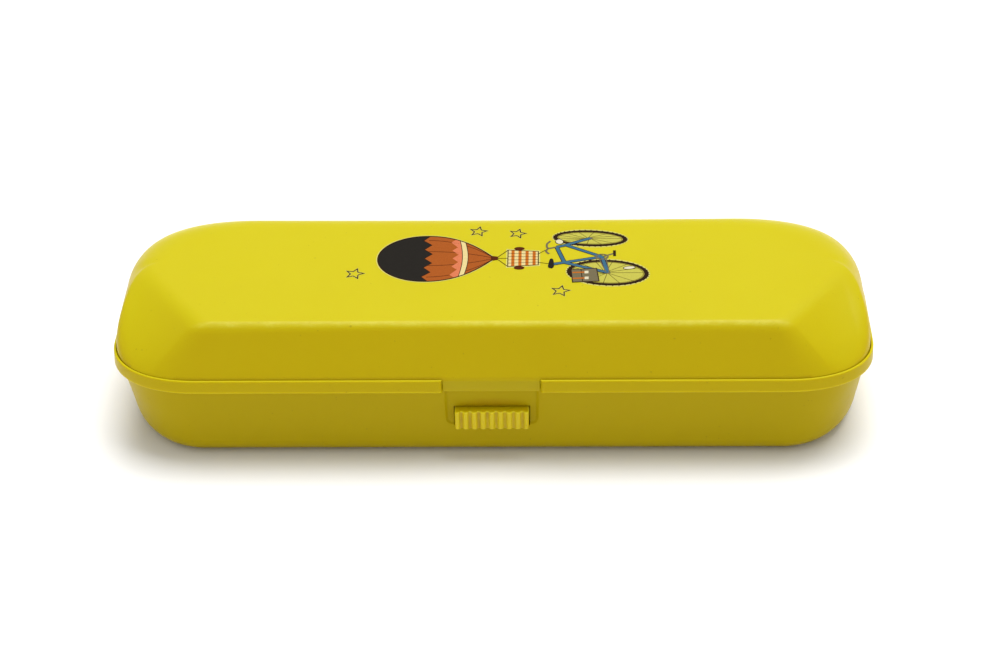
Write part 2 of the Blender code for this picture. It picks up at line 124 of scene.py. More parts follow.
BUTTON_HALF_WIDTH = 10.2 * MM
BUTTON_LOW = 10.7 * MM
BUTTON_TOP = 16.5 * MM
BUTTON_FRONT = button_low.y
FLUTES = 8
FLUTE_DEPTH = 0.6 * MM
FLUTE_RIDGE = 1.15 * MM
PLATE_HALF_WIDTH = button_high.x
PLATE_FRONT = PAD_BACK + GAP
PLATE_BACK = PLATE_FRONT + 1.8 * MM
PLATE_LOW = button_low.z
PLATE_TOP = 21.5 * MM
NOSE_HALF_WIDTH = 8.5 * MM
NOSE_LOW = LIP_TOP + GAP
NOSE_TOP = button_high.z
NOSE_TIP = -33.8 * MM
NOSE_TIP_TOP = 24.7 * MM
NOSE_RAMP_END = -32.2 * MM

SPRING_Z = (BUTTON_LOW + BUTTON_TOP) / 2
SPRING_RADIUS = 2.2 * MM
SPRING_TURNS = 4.5
PEG_RADIUS = 1.5 * MM
PEG_LENGTH = 1.0 * MM
COVER_HALF_WIDTH = cover_high.x
COVER_SIDE = 1.6 * MM
COVER_FRONT = -24.4 * MM
COVER_BACK = cover_high.y
COVER_LOW = cover_low.z
COVER_TOP = cover_high.z
COVER_ROOF = 1.2 * MM
COVER_ROOF_FRONT = -27.2 * MM
COVER_HEEL_Z = 7.0 * MM
COVER_HEEL_Y = -28.5 * MM

HINGE_X = 62 * MM
BARREL_RADIUS = 2.1 * MM
BORE_RADIUS = 1.1 * MM
LID_BARREL_HALF = 4.0 * MM
BARREL_GAP = 0.4 * MM
TRAY_BARREL_LENGTH = 5.0 * MM
BARREL_NOTCH_LOW = 25.1 * MM
RIB_ROOT_Y = 35.4 * MM
RIB_LOW = 23.4 * MM
RIB_TOE_Y = 35.9 * MM
ARM_ROOT_Y = 33.4 * MM
ARM_LOW = BAND_TOP + GAP

# reach of the painted shade in the recess above the button
RECESS_SHADE_HALF_WIDTH = 11 * MM
RECESS_SHADE_HEIGHT = 3.2 * MM

# smoothness of the made surfaces
CORNER_STEPS = 48
CORNER_POWER = 2.2  # 2 is an ellipse, more is squarer
STRAIGHT_STEPS = 24  # along half of the front or the back
ROUND_STEPS = 6


# ---------------------------------------------------------------- plan outlines


def section(half_x, front, back, front_corner, back_corner, bevel=(0.0, 0.0)):
    """One plan outline. Front corners are round, or straight bevels whose two ends are rounded by bevel."""
    return np.array([half_x, front, back, *front_corner, *back_corner, *bevel])


def inset(plan, side, front=None, back=None):
    """The outline moved inwards by side at its ends, front at its front and back at its back."""
    front = side if front is None else front
    back = side if back is None else back
    half_x, near, far, fx, fy, bx, by, round_a, round_b = plan
    lose_x, lose_y = side, front
    if round_a:
        bevel_x, bevel_y = fx - round_a, fy - round_b
        spare = bevel_x + bevel_y - math.hypot(bevel_x, bevel_y)
        lose_x, lose_y = front * spare / bevel_y, side * spare / bevel_x
    corner = (fx - lose_x, fy - lose_y)
    far_corner = (bx - side, by - back)
    return section(half_x - side, near - front, far - back, corner, far_corner, (round_a, round_b))


def round_corner(length_x, length_y):
    turn = np.linspace(0, math.pi / 2, CORNER_STEPS + 1)
    reach_x, reach_y = np.sin(turn), np.cos(turn).round(9)
    return length_x * (1 - reach_x ** (2 / CORNER_POWER)), length_y * (1 - reach_y ** (2 / CORNER_POWER))


def bevel_corner(length_x, length_y, round_a, round_b):
    """Straight bevel with a parabola at each end, as distances from the square corner."""
    third = CORNER_STEPS // 3
    t = np.linspace(0, 1, third + 1)[:, None]
    a, b = np.array((length_x - round_a, 0)), np.array((0, length_y - round_b))
    along = (b - a) / np.linalg.norm(b - a)
    a_start, a_end = np.array((length_x, 0)), a + along * round_a
    b_start, b_end = b - along * round_b, np.array((0, length_y))
    first = (1 - t) ** 2 * a_start + 2 * t * (1 - t) * a + t**2 * a_end
    straight = a_end + (b_start - a_end) * t
    last = (1 - t) ** 2 * b_start + 2 * t * (1 - t) * b + t**2 * b_end
    return np.vstack((first, straight[1:], last[1:])).T


def whole(right):
    """The right half of an outline, from the front middle to the back middle, with its mirror image."""
    return np.vstack((right, (right * (-1, 1))[-2:0:-1]))


def outline(plan):
    """Points of an outline, anticlockwise from the front middle."""
    half_x, near, far, fx, fy, bx, by, round_a, round_b = plan
    dx, dy = bevel_corner(fx, fy, round_a, round_b) if round_a else round_corner(fx, fy)
    front = np.column_stack((half_x - dx, dy - near))
    dx, dy = round_corner(bx, by)
    back = np.column_stack((half_x - dx, far - dy))[::-1]
    share = np.linspace(0, 1, STRAIGHT_STEPS + 1)[:-1, None]
    front_straight = (0, -near) + (front[0] - (0, -near)) * share
    back_straight = back[-1] + ((0, far) - back[-1]) * (1 - share[::-1])
    middle = (front[-1:] + back[:1]) / 2
    return whole(np.vstack((front_straight, front, middle, back, back_straight)))


def ring(plan, z):
    points = outline(plan)
    return np.column_stack((points, np.full(len(points), z)))


# ---------------------------------------------------------------- mesh helpers


def finish_mesh(name, bm, sharp=None):
    mesh = bpy.data.meshes.new(name)
    bm.to_mesh(mesh)
    bm.free()
    mesh.shade_smooth()
    if sharp is not None:
        mesh.set_sharp_from_angle(angle=math.radians(sharp))
    o = bpy.data.objects.new(name, mesh)
    scene.collection.objects.link(o)
    return o


def loft(name, rings, sharp=40):
    """Closed solid through rings of equal point count, capped at both ends."""
    bm = bmesh.new()
    loops = [[bm.verts.new(p) for p in points] for points in rings]
    count = len(loops[0])
    for low, high in zip(loops, loops[1:]):
        for i in range(count):
            j = (i + 1) % count
            bm.faces.new((low[i], low[j], high[j], high[i]))
    bm.faces.new(reversed(loops[0]))
    bm.faces.new(loops[-1])
    bmesh.ops.remove_doubles(bm, verts=bm.verts, dist=0.002 * MM)
    return finish_mesh(name, bm, sharp)


def prism_mesh(bm, profile, axis, start, end, bevel=0.0, segments=3):
    """Adds a profile extruded along axis to bm, its edges rounded by bevel."""
    along = "XYZ".index(axis)
    part = bmesh.new()
    bottom = [part.verts.new(np.insert(p, along, start)) for p in profile]
    top = bmesh.ops.extrude_face_region(part, geom=[part.faces.new(bottom)])["geom"]
    for v in (g for g in top if isinstance(g, bmesh.types.BMVert)):
        v.co[along] = end
    bmesh.ops.recalc_face_normals(part, faces=part.faces)
    if bevel:
        sharp = [e for e in part.edges if e.calc_face_angle(0) > math.radians(30)]
        bmesh.ops.bevel(
            part, geom=sharp, offset=bevel, segments=segments, profile=0.5, affect="EDGES", clamp_overlap=True
        )
    held = bpy.data.meshes.new("part")
    part.to_mesh(held)
    part.free()
    bm.from_mesh(held)
    bpy.data.meshes.remove(held)


def prism(name, profile, axis, start, end, bevel=0.0, segments=3, sharp=40):
    bm = bmesh.new()
    prism_mesh(bm, profile, axis, start, end, bevel, segments)
    return finish_mesh(name, bm, sharp)


def rectangle(low, high):
    return [(low[0], low[1]), (high[0], low[1]), (high[0], high[1]), (low[0], high[1])]


def box_mesh(bm, low, high, bevel=0.0):
    prism_mesh(bm, rectangle(low, high), "Z", low[2], high[2], bevel)


def arc(centre, radius, start, end, steps):
    angles = np.radians(np.linspace(start, end, steps + 1))
    return [(centre[0] + radius * math.cos(a), centre[1] + radius * math.sin(a)) for a in angles]


def circle(centre, radius, steps=48):
    return arc(centre, radius, 0, 360, steps)[:-1]


def carve(target, operation, bm):
    """Joins the shapes in bm to target, or cuts them out of it, for good."""
    tool = finish_mesh("tool", bm)
    mod = target.modifiers.new("carve", "BOOLEAN")
    mod.operation = operation
    mod.solver = "EXACT"
    mod.object = tool
    dg = bpy.context.evaluated_depsgraph_get()
    mesh = bpy.data.meshes.new_from_object(target.evaluated_get(dg))
    target.modifiers.clear()
    old = target.data
    target.data = mesh
    bpy.data.meshes.remove(old)
    bpy.data.objects.remove(tool)


def settle(o, sharp=34):
    """Smooth shading with sharp edges where the faces really turn."""
    o.data.shade_smooth()
    o.data.set_sharp_from_angle(angle=math.radians(sharp))


def piece(o, body, slot, look, *replaced):
    o.data.materials.clear()
    o.data.materials.append(look)
    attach(o, body)
    if replaced:
        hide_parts(*replaced)
    return o


# ---------------------------------------------------------------- materials


# painted light: a lit tone for faces that look up, then a shaded tone for the other faces
LIT_TOP_YELLOW = (0.508, 0.436, 0.0012, 1)
SHADED_SIDE_YELLOW = (0.525, 0.394, 0.0006, 1)
# painted shade that darkens the lid's tongue
SHADED_TONGUE_YELLOW = (0.465, 0.362, 0.0006, 1)
# painted shade for the tray wall below the band, also used for the cover's sides
SHADED_WALL_YELLOW = (0.450, 0.338, 0.0006, 1)
# painted highlight for the band's top and bottom edges
BAND_HIGHLIGHT_YELLOW = (0.62, 0.50, 0.004, 1)
# painted highlight along the lid's front ridge
RIDGE_HIGHLIGHT_YELLOW = (0.60, 0.54, 0.045, 1)
# painted shade in the recess above the button and down in the button's grooves
PAINTED_SHADE_BROWN = (0.41, 0.232, 0.0006, 1)
BUTTON_YELLOW = (0.655, 0.515, 0.001, 1)
# painted highlight for the button's edges
BUTTON_HIGHLIGHT_YELLOW = (0.85, 0.74, 0.02, 1)
INK_LEVEL = 0.77  # inks are given as they look in the studio light; their own colours are this much deeper


class Nodes:
    """A material's node tree, built with short calls."""

    def __init__(self, name):
        self.material = bpy.data.materials.new(name)
        self.material.use_nodes = True
        self.tree = self.material.node_tree
        self.shader = self.tree.nodes["Principled BSDF"]

    def add(self, kind, inputs=None, **settings):
        node = self.tree.nodes.new("ShaderNode" + kind)
        for key, value in settings.items():
            setattr(node, key, value)
        for key, value in (inputs or {}).items():
            self.set(node, key, value)
        return node

    def set(self, node, key, value):
        if isinstance(value, bpy.types.NodeSocket):
            self.tree.links.new(value, node.inputs[key])
        else:
            node.inputs[key].default_value = value

    def place(self):
        return self.add("TexCoord").outputs["Object"]

    def noise(self, scale, detail=2.0, rough=0.5, stretch=None):
        where = self.place()
        if stretch:
            where = self.add("Mapping", {"Vector": where, "Scale": stretch}).outputs["Vector"]
        inputs = {"Vector": where, "Scale": scale, "Detail": detail, "Roughness": rough}
        return self.add("TexNoise", inputs).outputs["Fac"]

    def ramp(self, value, low, high, out_low=0.0, out_high=1.0):
        inputs = {"Value": value, "From Min": low, "From Max": high, "To Min": out_low, "To Max": out_high}
        return self.add("MapRange", inputs).outputs["Result"]

    def mix(self, factor, a, b):
        node = self.add("Mix", data_type="RGBA")
        for index, value in ((0, factor), (6, a), (7, b)):
            self.set(node, index, value)
        return node.outputs[2]

    def math(self, operation, a, b=0.0):
        return self.add("Math", {0: a, 1: b}, operation=operation).outputs[0]

    def product(self, first, *others):
        for other in others:
            first = self.math("MULTIPLY", first, other)
        return first

    def object_xyz(self):
        return self.add("SeparateXYZ", {"Vector": self.place()}).outputs

    def facing_up(self):
        return self.add("SeparateXYZ", {"Vector": self.add("TexCoord").outputs["Normal"]}).outputs["Z"]

    def bump(self, height, distance, strength=1.0, normal=None):
        inputs = {"Height": height, "Distance": distance, "Strength": strength}
        if normal is not None:
            inputs["Normal"] = normal
        return self.add("Bump", inputs).outputs["Normal"]


def linear(red, green, blue):
    """An sRGB colour, 0 to 255, as the linear colour that shaders take."""
    levels = np.array((red, green, blue)) / 255
    return (*np.where(levels <= 0.04045, levels / 12.92, ((levels + 0.055) / 1.055) ** 2.4), 1.0)


def plastic(name, roughness, gloss, top_color, side_color, finish=None):
    """Moulded polypropylene, slightly see-through, with mould grain, waviness, scratches and specks of dirt.

    Faces that look up are tinted towards top_color, a painted lit tone, and the others stay side_color, a
    painted shaded tone. Finish adds one moulding's painted shade and painted highlights.
    """
    n = Nodes(name)
    # painted light: faces that look up get the lit tone, the rest the shaded tone
    tint = n.mix(n.ramp(n.facing_up(), 0.5, 0.95), side_color, top_color)
    if finish:
        tint = finish(n, tint)
    cloud = n.ramp(n.noise(18, 3), 0.35, 0.65, 0.0, 0.10)
    tint = n.mix(cloud, tint, tuple(c * 0.8 for c in side_color[:3]) + (1.0,))
    speck = n.ramp(n.noise(900, 1, 0.4), 0.77, 0.80, 0.0, 0.3)
    tint = n.mix(speck, tint, (0.16, 0.11, 0.01, 1))
    n.set(n.shader, "Base Color", tint)
    smear = n.noise(60, 4, 0.6)
    scratch = n.ramp(n.noise(260, 3, 0.7, (0.12, 1, 1)), 0.66, 0.72, 0.0, 0.10)
    smeared = n.ramp(smear, 0.3, 0.7, roughness - 0.04, roughness + 0.05)
    n.set(n.shader, "Roughness", n.math("ADD", smeared, scratch))
    n.set(n.shader, "Subsurface Weight", 0.3)
    n.set(n.shader, "Subsurface Radius", (1.0, 0.75, 0.12))
    n.set(n.shader, "Subsurface Scale", 0.0022)
    n.set(n.shader, "IOR", 1.49)
    n.set(n.shader, "Specular IOR Level", gloss)
    grain = n.bump(n.noise(2600, 2, 0.6), 0.00004, 0.35)
    wave = n.bump(n.noise(420, 2, 0.5), 0.00006, 0.30, grain)
    n.set(n.shader, "Normal", wave)
    return n.material


def tray_finish(n, tint):
    """Painted shade on the wall below the band, painted highlights along the band's edges, and painted shade
    in the recess above the button.
    """
    x, y, z = n.object_xyz()
    # painted shade: the wall below the band is darker
    tint = n.mix(n.ramp(z, BAND_LOW - 1.0 * MM, BAND_LOW + 0.1 * MM, 1.0, 0.0), tint, SHADED_WALL_YELLOW)
    # painted highlight along the band's bottom and top edges, patchy with noise
    edge_start = n.ramp(z, BAND_LOW - 0.05 * MM, BAND_LOW + 0.1 * MM)
    edge_end = n.ramp(z, BAND_LOW + 0.55 * MM, BAND_LOW + 0.8 * MM, 1.0, 0.0)
    top_edge = n.ramp(z, BAND_TOP - 0.5 * MM, BAND_TOP - 0.2 * MM, 0.0, 0.3)
    edges = n.math("MAXIMUM", n.product(edge_start, edge_end), top_edge)
    painted_highlight = n.product(edges, n.ramp(n.noise(90, 3), 0.3, 0.6, 0.35, 0.8))
    tint = n.mix(painted_highlight, tint, BAND_HIGHLIGHT_YELLOW)
    # painted shade in the recess above the button, darkest near its middle
    across = n.math("POWER", n.math("ABSOLUTE", n.math("DIVIDE", x, RECESS_SHADE_HALF_WIDTH)), 2.0)
    above = n.math("DIVIDE", n.math("SUBTRACT", z, BUTTON_TOP), RECESS_SHADE_HEIGHT)
    above = n.math("POWER", n.math("ABSOLUTE", above), 2.0)
    in_recess = n.product(n.ramp(z, BUTTON_TOP - MM, BUTTON_TOP), n.ramp(y, PAD_BACK, 0, 1.0, 0.0))
    recess_shade = n.product(n.ramp(n.math("ADD", across, above), 0.0, 1.0, 0.7, 0.0), in_recess)
    return n.mix(recess_shade, tint, PAINTED_SHADE_BROWN)


def button_finish(n, tint):
    """Painted shade down in the grooves, and painted highlights on edges that face partly up."""
    up = n.facing_up()
    x, y, _ = n.object_xyz()
    side = n.math("ABSOLUTE", x)
    inside = n.ramp(side, BUTTON_HALF_WIDTH - 0.7 * MM, BUTTON_HALF_WIDTH - 0.4 * MM, 1.0, 0.0)
    depth = n.ramp(y, BUTTON_FRONT + 0.3 * MM, BUTTON_FRONT + FLUTE_DEPTH, 0.0, 0.7)
    patchy = n.ramp(n.noise(240, 2), 0.35, 0.65, 0.55, 1.0)
    # painted shade down in the grooves
    tint = n.mix(n.product(depth, inside, n.ramp(up, 0.2, 0.6, 1.0, 0.0), patchy), tint, PAINTED_SHADE_BROWN)
    # painted highlight on edges that face partly up
    painted_highlight = n.product(n.ramp(up, 0.2, 0.5), n.ramp(up, 0.8, 0.97, 1.0, 0.0), 0.8)
    return n.mix(painted_highlight, tint, BUTTON_HIGHLIGHT_YELLOW)


def lid_finish(n, tint):
    """Painted shade deepens the tongue's colour, and a painted highlight runs along the front ridge as a
    speckled bright line.
    """
    _, y, z = n.object_xyz()
    # painted shade: the tongue below the band top is darker
    low = n.ramp(z, BAND_TOP - GAP - 0.5 * MM, BAND_TOP - GAP + 0.3 * MM, 1.0, 0.0)
    tint = n.mix(low, tint, SHADED_TONGUE_YELLOW)
    # painted highlight: a speckled bright line along the front ridge
    beside = n.math("ABSOLUTE", n.math("ADD", y, LID_TOP_FRONT - 0.5 * MM))
    high = n.ramp(z, TOP - 1.6 * MM, TOP - 0.6 * MM)
    near = n.ramp(beside, 0.35 * MM, 1.1 * MM, 1.0, 0.0)
    speckle = n.ramp(n.noise(420, 3, 0.7, (0.5, 1, 1)), 0.42, 0.66, 0.25, 0.9)
    return n.mix(n.product(high, near, speckle), tint, RIDGE_HIGHLIGHT_YELLOW)


def ink(name, color):
    """Printed ink: even, a little duller than the plastic, with a fine speckle."""
    n = Nodes(name)
    speck = n.noise(3000, 2, 0.7)
    color = tuple(c * INK_LEVEL for c in color[:3]) + (1.0,)
    darker = tuple(c * 0.82 for c in color[:3]) + (1.0,)
    n.set(n.shader, "Base Color", n.mix(n.ramp(speck, 0.35, 0.7), color, darker))
    n.set(n.shader, "Roughness", n.ramp(n.noise(500), 0.3, 0.7, 0.5, 0.6))
    n.set(n.shader, "Specular IOR Level", 0.02)
    return n.material


def steel(name):
    n = Nodes(name)
    streak = n.noise(900, 3, 0.6, (0.1, 1, 1))
    n.set(n.shader, "Base Color", n.mix(streak, (0.55, 0.55, 0.54, 1), (0.72, 0.71, 0.69, 1)))
    n.set(n.shader, "Roughness", n.ramp(streak, 0.3, 0.7, 0.22, 0.38))
    n.set(n.shader, "Metallic", 1.0)
    return n.material


lid_look = plastic("lid_plastic", 0.36, 0.12, LIT_TOP_YELLOW, SHADED_SIDE_YELLOW, lid_finish)
tray_look = plastic("tray_plastic", 0.38, 0.08, LIT_TOP_YELLOW, SHADED_SIDE_YELLOW, tray_finish)
# the cover's sides get the painted shade of the tray wall
cover_look = plastic("cover_plastic", 0.38, 0.12, LIT_TOP_YELLOW, SHADED_WALL_YELLOW)
button_look = plastic("button_plastic", 0.3, 0.25, BUTTON_YELLOW, BUTTON_YELLOW, button_finish)
steel_look = steel("steel")


# ---------------------------------------------------------------- tray


def tray_section(z):
    depth_low, depth_high = TRAY_HALF_DEPTH_LOW, TRAY_HALF_DEPTH_HIGH
    low = section(TRAY_HALF_LENGTH, depth_low, depth_low, TRAY_FRONT_CORNER_LOW, TRAY_BACK_CORNER_LOW)
    high = section(TRAY_HALF_LENGTH, depth_high, depth_high, TRAY_FRONT_CORNER_HIGH, TRAY_BACK_CORNER_HIGH)
    return low + (high - low) * z / BAND_LOW


def tray_bowl(wall, floor):
    """Rings of the tray's surface from its floor up to the band, set inwards by wall and upwards by floor."""
    rings = []
    radius = TRAY_EDGE_ROUND - wall
    for angle in np.radians(np.linspace(0, 90, 15)):
        z = floor + radius * (1 - math.cos(angle))
        rings.append(ring(inset(tray_section(z), wall + radius * (1 - math.sin(angle))), z))
    start = floor + radius
    for z in np.linspace(start, BAND_LOW - MM, 8)[1:]:
        rings.append(ring(inset(tray_section(z), wall), z))
    return rings


def rounded(plan, corner_inset, corner_z, radius, start, end, side):
    """Rings round an edge. Angles are in degrees from straight outwards, side is the sign of the inset."""
    rings = []
    for a in np.radians(np.linspace(start, end, ROUND_STEPS + 1)):
        inwards = corner_inset + side * radius * (1 - math.cos(a))
        rings.append(ring(inset(plan, inwards), corner_z + radius * math.sin(a)))
    return rings


def band_section():
    return section(HALF_LENGTH, HALF_DEPTH, HALF_DEPTH, BAND_FRONT_CORNER, BAND_BACK_CORNER)


def make_tray():
    band, under = band_section(), tray_section(BAND_LOW)
    low_edge, edge, inner_edge = 0.5 * MM, 0.4 * MM, 0.15 * MM
    outside = tray_bowl(0, 0)
    outside += [ring(tray_section(BAND_LOW - 0.25 * MM), BAND_LOW - 0.25 * MM)]
    outside += [ring(inset(under, -0.08 * MM), BAND_LOW - 0.07 * MM), ring(inset(under, -0.3 * MM), BAND_LOW)]
    outside += rounded(band, 0, BAND_LOW + low_edge, low_edge, -90, 0, 1)
    outside += [ring(inset(band, 0.1 * MM), (BAND_LOW + BAND_TOP) / 2)]
    outside += rounded(band, 0.12 * MM, BAND_TOP - edge, edge, 0, 90, 1)
    inside = rounded(band, BAND_WALL, BAND_TOP - inner_edge, inner_edge, 90, 0, -1)
    inside += [
        ring(inset(band, BAND_WALL), SHELF + 0.1 * MM),
        ring(inset(band, BAND_WALL + 0.1 * MM), SHELF),
        ring(inset(under, WALL - 0.25 * MM), SHELF),
        ring(inset(under, WALL), SHELF - 0.25 * MM),
    ]
    tray = loft("tray_shell", outside + inside + tray_bowl(WALL, FLOOR)[::-1])
    add = bmesh.new()
    pad_low, pad_high = (-PAD_HALF_WIDTH, RECESS_FLOOR, PAD_LOW), (PAD_HALF_WIDTH, PAD_BACK, SHELF - GAP)
    box_mesh(add, pad_low, pad_high, 0.35 * MM)
    for middle, end in ((m, e) for m in (-HINGE_X, HINGE_X) for e in (-1, 1)):
        near = middle + end * (LID_BARREL_HALF + BARREL_GAP)
        far = near + end * TRAY_BARREL_LENGTH
        prism_mesh(add, knuckle_profile(), "X", min(near, far), max(near, far), 0.25 * MM)
    carve(tray, "UNION", add)
    cut = bmesh.new()
    recess_tool(cut)
    for middle in (-HINGE_X, HINGE_X):
        reach = LID_BARREL_HALF + BARREL_GAP
        box_mesh(
            cut,
            (middle - reach, LID_HALF_DEPTH, BARREL_NOTCH_LOW),
            (middle + reach, HALF_DEPTH + 1.1 * MM, BAND_TOP + MM),
            0.2 * MM,
        )
    carve(tray, "DIFFERENCE", cut)
    cut = bmesh.new()
    window_tool(cut)
    box_mesh(
        cut,
        (-NOTCH_HALF_WIDTH, RECESS_FLOOR - MM, NOTCH_LOW),
        (NOTCH_HALF_WIDTH, PAD_BACK + MM, BAND_TOP + MM),
        0.3 * MM,
    )
    hinge_bores(cut, LID_BARREL_HALF + BARREL_GAP + TRAY_BARREL_LENGTH + MM)
    carve(tray, "DIFFERENCE", cut)
    settle(tray)
    return tray


def hinge_bores(bm, reach):
    """The holes for the hinge pins, reach to either side of each hinge's middle."""
    for middle in (-HINGE_X, HINGE_X):
        prism_mesh(bm, circle((HINGE_Y, HINGE_Z), BORE_RADIUS), "X", middle - reach, middle + reach)


def knuckle_profile():
    round_side = arc((HINGE_Y, HINGE_Z), BARREL_RADIUS, -35, 200, 40)
    return round_side + [(RIB_ROOT_Y, SHELF + MM), (RIB_ROOT_Y, RIB_LOW), (RIB_TOE_Y, RIB_LOW)]


def recess_outline(grow):
    """Outline of the thumb recess in X and Z, open at the top, larger by grow."""
    w, r = BREAK_HALF_WIDTH + grow, RECESS_ROUND + grow
    low, top = RECESS_LOW - grow, BAND_TOP + MM
    low_left = arc((r - w, low + r), r, 180, 270, 10)
    low_right = arc((w - r, low + r), r, 270, 360, 10)
    return low_left + low_right + [(w, top), (-w, top)]


def recess_tool(bm):
    """The recess: its floor runs into the wall in a soft S-curve."""
    depths = []
    for share in np.linspace(0, 1, 13):
        depths.append((RECESS_FLOOR - 0.8 * MM * share**2 * (3 - 2 * share), -1.5 * MM * (1 - share)))
    for out, grow in ((1.0, 0.0), (0.6, 0.1), (0.3, 0.3), (0.12, 0.55), (0.02, 0.9), (-1.0, 1.2)):
        depths.append((out * MM - HALF_DEPTH, grow * MM))
    loops = []
    for y, grow in depths:
        loops.append([bm.verts.new((x, y, z)) for x, z in recess_outline(grow)])
    count = len(loops[0])
    for a, b in zip(loops, loops[1:]):
        for i in range(count):
            j = (i + 1) % count
            bm.faces.new((a[j], a[i], b[i], b[j]))
    bm.faces.new(loops[0])
    bm.faces.new(reversed(loops[-1]))
    bmesh.ops.recalc_face_normals(bm, faces=bm.faces)


def window_tool(bm):
    low = (-BUTTON_HALF_WIDTH - GAP, BUTTON_LOW - GAP)
    high = (BUTTON_HALF_WIDTH + GAP, BUTTON_TOP + GAP)
    prism_mesh(bm, rectangle(low, high), "Y", RECESS_FLOOR - MM, PAD_BACK + MM)


# ---------------------------------------------------------------- lid


def lid_sections(thickness=0.0):
    rim = inset(band_section(), BAND_WALL + 0.6 * GAP)
    top = section(
        LID_TOP_HALF_LENGTH,
        LID_TOP_FRONT,
        LID_TOP_BACK,
        LID_TOP_FRONT_CORNER,
        LID_TOP_BACK_CORNER,
        LID_BEVEL_ROUND,
    )
    return inset(rim, thickness), inset(top, thickness)


def leaning():
    """How late each point of the outline leans inwards. The front and its bevels are flat."""
    share = np.linspace(0, 1, CORNER_STEPS + 1)
    front, back = 1 + (END_LEAN - 1) * share**3, END_LEAN + (BACK_LEAN - END_LEAN) * share
    ends = np.ones(STRAIGHT_STEPS)
    right = np.concatenate((ends * front[0], front, back[:1], back, ends * back[-1]))
    return np.append(right, right[-2:0:-1])


def softening():
    """How much of the ends' wide ridge each point of the outline has. The front and its bevels have none."""
    share = np.linspace(0, 1, CORNER_STEPS + 1)
    front, back = np.clip(2.5 * share - 1.5, 0, 1) ** 2 / 2, 1 - np.clip(1 - 2.5 * share, 0, 1) ** 2 / 2
    right = np.concatenate((np.zeros(STRAIGHT_STEPS), front, [0.5], back, np.ones(STRAIGHT_STEPS)))
    return np.append(right, right[-2:0:-1])


def lid_shell(thickness, roof):
    rim_plan, top_plan = lid_sections(thickness)
    rim, shoulder = ring(rim_plan, BAND_TOP), ring(top_plan, TOP - roof)
    crisp = ring(inset(top_plan, LID_BEVEL_RIDGE, *LID_RIDGE[1:]), TOP - roof)
    soft = ring(inset(top_plan, *LID_RIDGE), TOP - roof)
    flat = crisp + (soft - crisp) * softening()[:, None]
    last = 1 - np.linalg.norm(flat - shoulder, axis=1) / np.linalg.norm(shoulder - rim, axis=1)
    lean = leaning()
    rings = []
    for share in np.linspace(0, 1, 17):
        rise = share * last
        rings.append(rim + (shoulder - rim) * np.column_stack((rise**lean, rise**lean, rise)))
    # where the slope's tangent meets the top
    reach = last**lean + lean * last ** (lean - 1) * (1 - last)
    start, corner = rings[-1], rim + (shoulder - rim) * np.column_stack((reach, reach, np.ones(len(reach))))
    for t in np.linspace(0, 1, 15)[1:]:
        rings.append((1 - t) ** 2 * start + 2 * t * (1 - t) * corner + t**2 * flat)
    return rings


def make_lid():
    skirt_low = SHELF + GAP
    edge = 0.25 * MM
    rim_out, rim_in = lid_sections()[0], lid_sections(WALL)[0]
    outside = rounded(rim_out, 0, skirt_low + edge, edge, -90, 0, 1) + lid_shell(0, 0)
    inside = rounded(rim_in, 0, skirt_low + edge, edge, -90, 0, -1) + lid_shell(WALL, LID_ROOF)
    lid = loft("lid_shell", inside[::-1] + outside)
    add = bmesh.new()
    slope = (LID_HALF_DEPTH - LID_TOP_FRONT) / (TOP - BAND_TOP)
    root_z = BAND_TOP + 1.4 * MM
    root_y = -LID_HALF_DEPTH + slope * (root_z - BAND_TOP) + 0.2 * MM
    profile = [
        (TONGUE_FRONT, TONGUE_LOW),
        (TONGUE_BACK, TONGUE_LOW),
        (TONGUE_BACK, BAND_TOP),
        (root_y, root_z),
        (TONGUE_FRONT, BAND_TOP - GAP),
    ]
    prism_mesh(add, profile, "X", -TONGUE_HALF_WIDTH, TONGUE_HALF_WIDTH, 0.3 * MM)
    start = 180 - math.degrees(math.asin((ARM_LOW - HINGE_Z) / BARREL_RADIUS))
    barrel = arc((HINGE_Y, HINGE_Z), BARREL_RADIUS, start, 450, 44)
    barrel += [(ARM_ROOT_Y, HINGE_Z + BARREL_RADIUS), (ARM_ROOT_Y, ARM_LOW)]
    for middle in (-HINGE_X, HINGE_X):
        prism_mesh(add, barrel, "X", middle - LID_BARREL_HALF, middle + LID_BARREL_HALF, 0.25 * MM)
    carve(lid, "UNION", add)
    cut = bmesh.new()
    box_mesh(
        cut,
        (-NOTCH_HALF_WIDTH, SKIRT_NOTCH_FRONT, SHELF - MM),
        (NOTCH_HALF_WIDTH, -LID_HALF_DEPTH + WALL + MM, SKIRT_NOTCH_TOP),
        0.3 * MM,
    )
    hinge_bores(cut, LID_BARREL_HALF + MM)
    carve(lid, "DIFFERENCE", cut)
    add = bmesh.new()
    box_mesh(
        add,
        (-LIP_HALF_WIDTH, TONGUE_BACK - GAP, TONGUE_LOW + 0.1 * MM),
        (LIP_HALF_WIDTH, LIP_BACK, LIP_TOP),
        0.15 * MM,
    )
    carve(lid, "UNION", add)
    settle(lid)
    return lid


# ---------------------------------------------------------------- latch and pins


def button_front():
    """The button's front from left to right: round ridges with shallow grooves between them."""
    groove = (2 * BUTTON_HALF_WIDTH - (FLUTES + 1) * FLUTE_RIDGE) / FLUTES
    points = []
    for i in range(FLUTES + 1):
        start = -BUTTON_HALF_WIDTH + i * (FLUTE_RIDGE + groove)
        for share in np.linspace(0.0, 1.0, 7):
            points.append((start + FLUTE_RIDGE * share, 0.14 * MM * (2 * share - 1) ** 6))
        if i < FLUTES:
            for share in np.linspace(0, 1, 12)[1:-1]:
                depth = FLUTE_DEPTH * math.sin(math.pi * share) ** 0.35
                points.append((start + FLUTE_RIDGE + groove * share, max(depth, 0.14 * MM)))
    return np.array(points)


